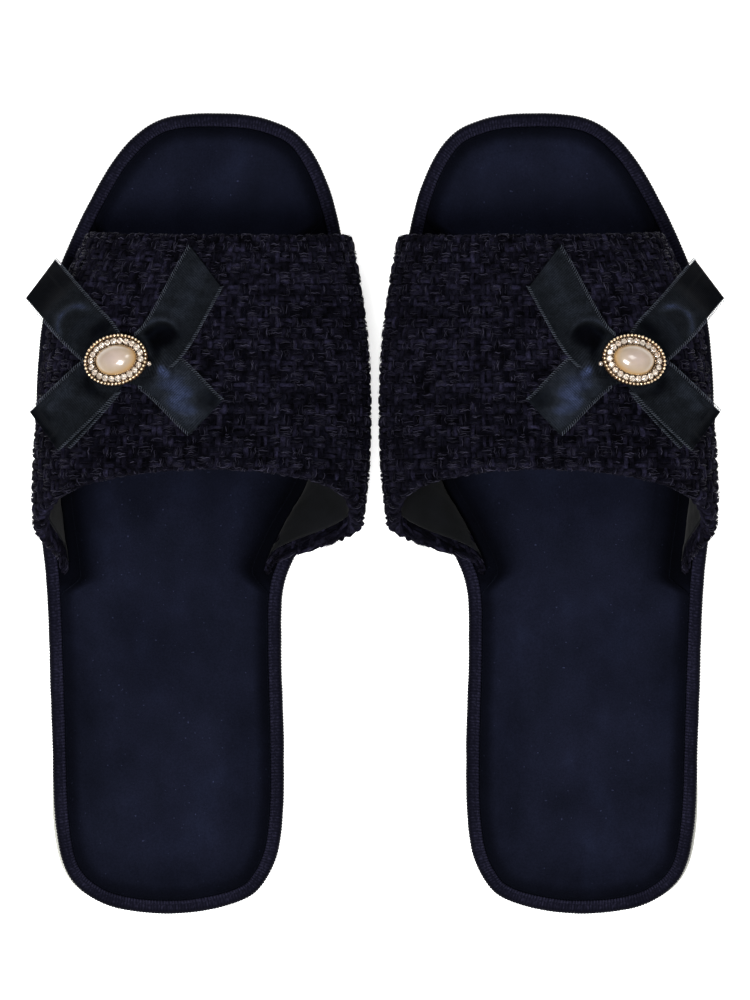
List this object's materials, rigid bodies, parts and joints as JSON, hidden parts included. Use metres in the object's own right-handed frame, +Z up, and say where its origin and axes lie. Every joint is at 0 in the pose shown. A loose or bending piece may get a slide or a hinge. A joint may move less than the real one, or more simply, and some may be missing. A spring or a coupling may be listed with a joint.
{
  "type": "pair of spa slippers",
  "caption": "Open-toe slide slippers with padded velvet footbed, bound edge, wide lined tweed strap and a crossed satin bow under an oval pearl brooch.",
  "frame": {"origin": "middle of the pair's box, at the floor", "axes": "+Z up, +Y towards the toes, +X towards the right slipper's outer side"},
  "size_m": [0.2206, 0.2553, 0.0673],
  "materials": {
    "outsole": "moulded foam rubber, matt",
    "foam": "open-cell foam",
    "board": "pressed fibre board",
    "velvet": "short-pile velvet with nap patches",
    "binding_tape": "ribbed tape",
    "lining": "smooth woven lining",
    "tweed": "bouclé tweed with fine pale filaments",
    "satin": "satin ribbon with picot edges",
    "gold": "pale antique gold plate",
    "stones": "cut clear stones",
    "pearl": "champagne pearl",
    "thread": "wound thread"
  },
  "bodies": {
    "left_slipper": {"left_outsole": "outsole", "left_bottom_filler": "foam", "left_insole_board": "board", "left_foam_pad": "foam", "left_velvet_footbed": "velvet", "left_edge_binding": "binding_tape", "left_strap_lining": "lining", "left_strap_foam": "foam", "left_strap_tweed": "tweed", "left_ribbon_lower": "satin", "left_ribbon_upper": "satin"},
    "right_slipper": {"right_outsole": "outsole", "right_bottom_filler": "foam", "right_insole_board": "board", "right_foam_pad": "foam", "right_velvet_footbed": "velvet", "right_edge_binding": "binding_tape", "right_strap_lining": "lining", "right_strap_foam": "foam", "right_strap_tweed": "tweed", "right_ribbon_lower": "satin", "right_ribbon_upper": "satin"},
    "left_brooch": {"left_brooch_setting": "gold", "left_brooch_stones": "stones", "left_brooch_pearl": "pearl", "left_brooch_thread": "thread"},
    "right_brooch": {"right_brooch_setting": "gold", "right_brooch_stones": "stones", "right_brooch_pearl": "pearl", "right_brooch_thread": "thread"}
  },
  "joints": [
    {"name": "right_slipper_lift", "type": "slide", "parent": "left_slipper", "child": "right_slipper", "axis": [0, 0, 1], "range_m": [0, 0.12]},
    {"name": "left_brooch_turn", "type": "hinge", "parent": "left_slipper", "child": "left_brooch", "pos_m": [-0.0821, 0.04867, 0.06136], "axis": [-0.2992, 0.1638, 0.94], "range_deg": [-15, 15], "stiffness_Nm_per_rad": 0.003},
    {"name": "right_brooch_turn", "type": "hinge", "parent": "right_slipper", "child": "right_brooch", "pos_m": [0.0821, 0.04867, 0.06136], "axis": [0.2992, 0.1638, 0.94], "range_deg": [-15, 15], "stiffness_Nm_per_rad": 0.003}
  ]
}
